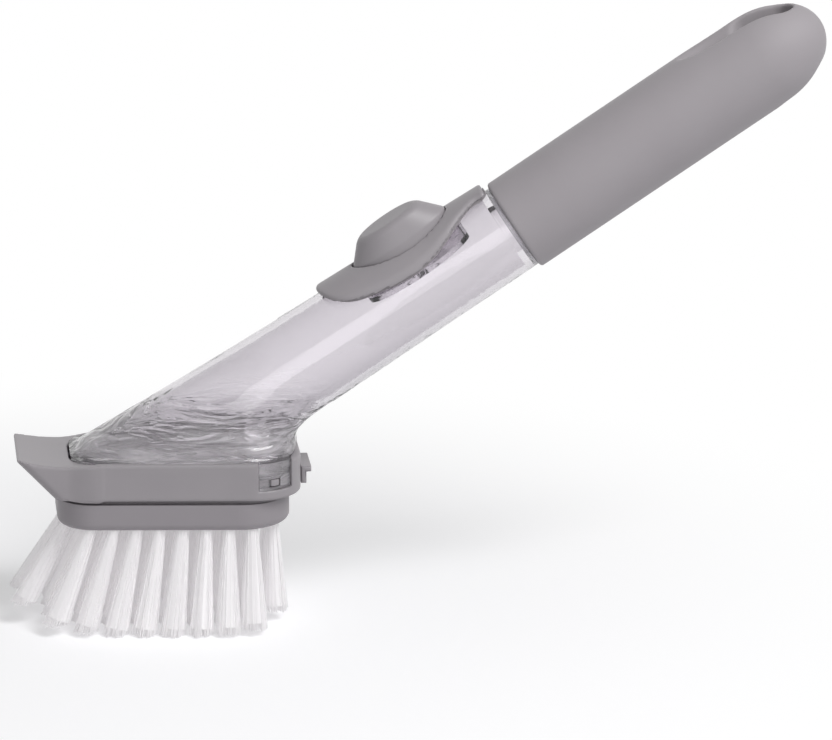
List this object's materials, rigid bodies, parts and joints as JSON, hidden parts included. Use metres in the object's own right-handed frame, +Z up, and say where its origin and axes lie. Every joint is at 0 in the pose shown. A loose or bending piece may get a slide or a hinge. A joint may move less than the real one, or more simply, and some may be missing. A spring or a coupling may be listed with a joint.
{
  "type": "dish wand",
  "caption": "Soap-dispensing dish wand: clear reservoir tube with a push button, screw-on grey grip with hanging slot, scraper frame and pull-off bristle head.",
  "frame": {"origin": "middle of the bristle tips, on the surface that they stand on", "axes": "+X from the scraper towards the handle, +Z up from the bristle tips, XZ the plane of symmetry"},
  "size_m": [0.2355, 0.0584, 0.1752],
  "materials": {
    "clear_plastic": "clear moulded styrene plastic",
    "grip_soft_touch": "matte grey soft-touch rubber",
    "grey_plastic": "moulded grey plastic, fine matte texture",
    "block_plastic": "moulded darker grey plastic",
    "grey_seal": "grey seal rubber",
    "clear_silicone": "translucent silicone",
    "bristle_nylon": "white nylon filament",
    "spring_steel": "bright drawn steel"
  },
  "bodies": {
    "wand": {"reservoir_shell": "clear_plastic", "head_seal": "clear_silicone", "scraper_frame": "grey_plastic", "outlet_valve": "clear_silicone", "valve_retainer": "clear_plastic", "button_seat": "grey_seal", "button_bezel": "grey_plastic", "pump_cup": "clear_plastic", "pump_bellows": "clear_silicone", "return_spring": "spring_steel"},
    "neck_ring": {"neck_gasket": "clear_silicone"},
    "handle": {"handle_core": "grey_plastic", "grip_sleeve": "grip_soft_touch"},
    "button": {"button_cap": "grey_plastic"},
    "latch": {"release_latch": "grey_plastic"},
    "brush_head": {"snap_plate": "block_plastic", "outlet_gasket": "clear_silicone", "brush_block": "block_plastic", "bristle_tufts": "bristle_nylon", "support_tufts": "bristle_nylon", "tuft_anchors": "spring_steel"}
  },
  "joints": [
    {"name": "handle_lift", "type": "slide", "parent": "wand", "child": "neck_ring", "axis": [0.8339, 0, 0.5519], "range_m": [0, 0.008]},
    {"name": "handle_screw", "type": "hinge", "parent": "neck_ring", "child": "handle", "pos_m": [0.1054, 0, 0.11145], "axis": [0.8339, 0, 0.5519], "range_deg": [0, 722]},
    {"name": "button_press", "type": "slide", "parent": "wand", "child": "button", "axis": [0.5519, 0, -0.8339], "range_m": [0, 0.003], "stiffness_N_per_m": 800, "springref_m": -0.003, "deforming": ["return_spring", "pump_bellows"]},
    {"name": "latch_pull", "type": "slide", "parent": "wand", "child": "latch", "axis": [1, 0, 0], "range_m": [0, 0.0025], "stiffness_N_per_m": 600, "springref_m": -0.002},
    {"name": "head_pull", "type": "slide", "parent": "wand", "child": "brush_head", "axis": [0, 0, -1], "range_m": [0, 0.012]}
  ],
  "couplings": [
    {"joint": "handle_screw", "follows": "handle_lift", "rad_per_m": 1570.8}
  ]
}
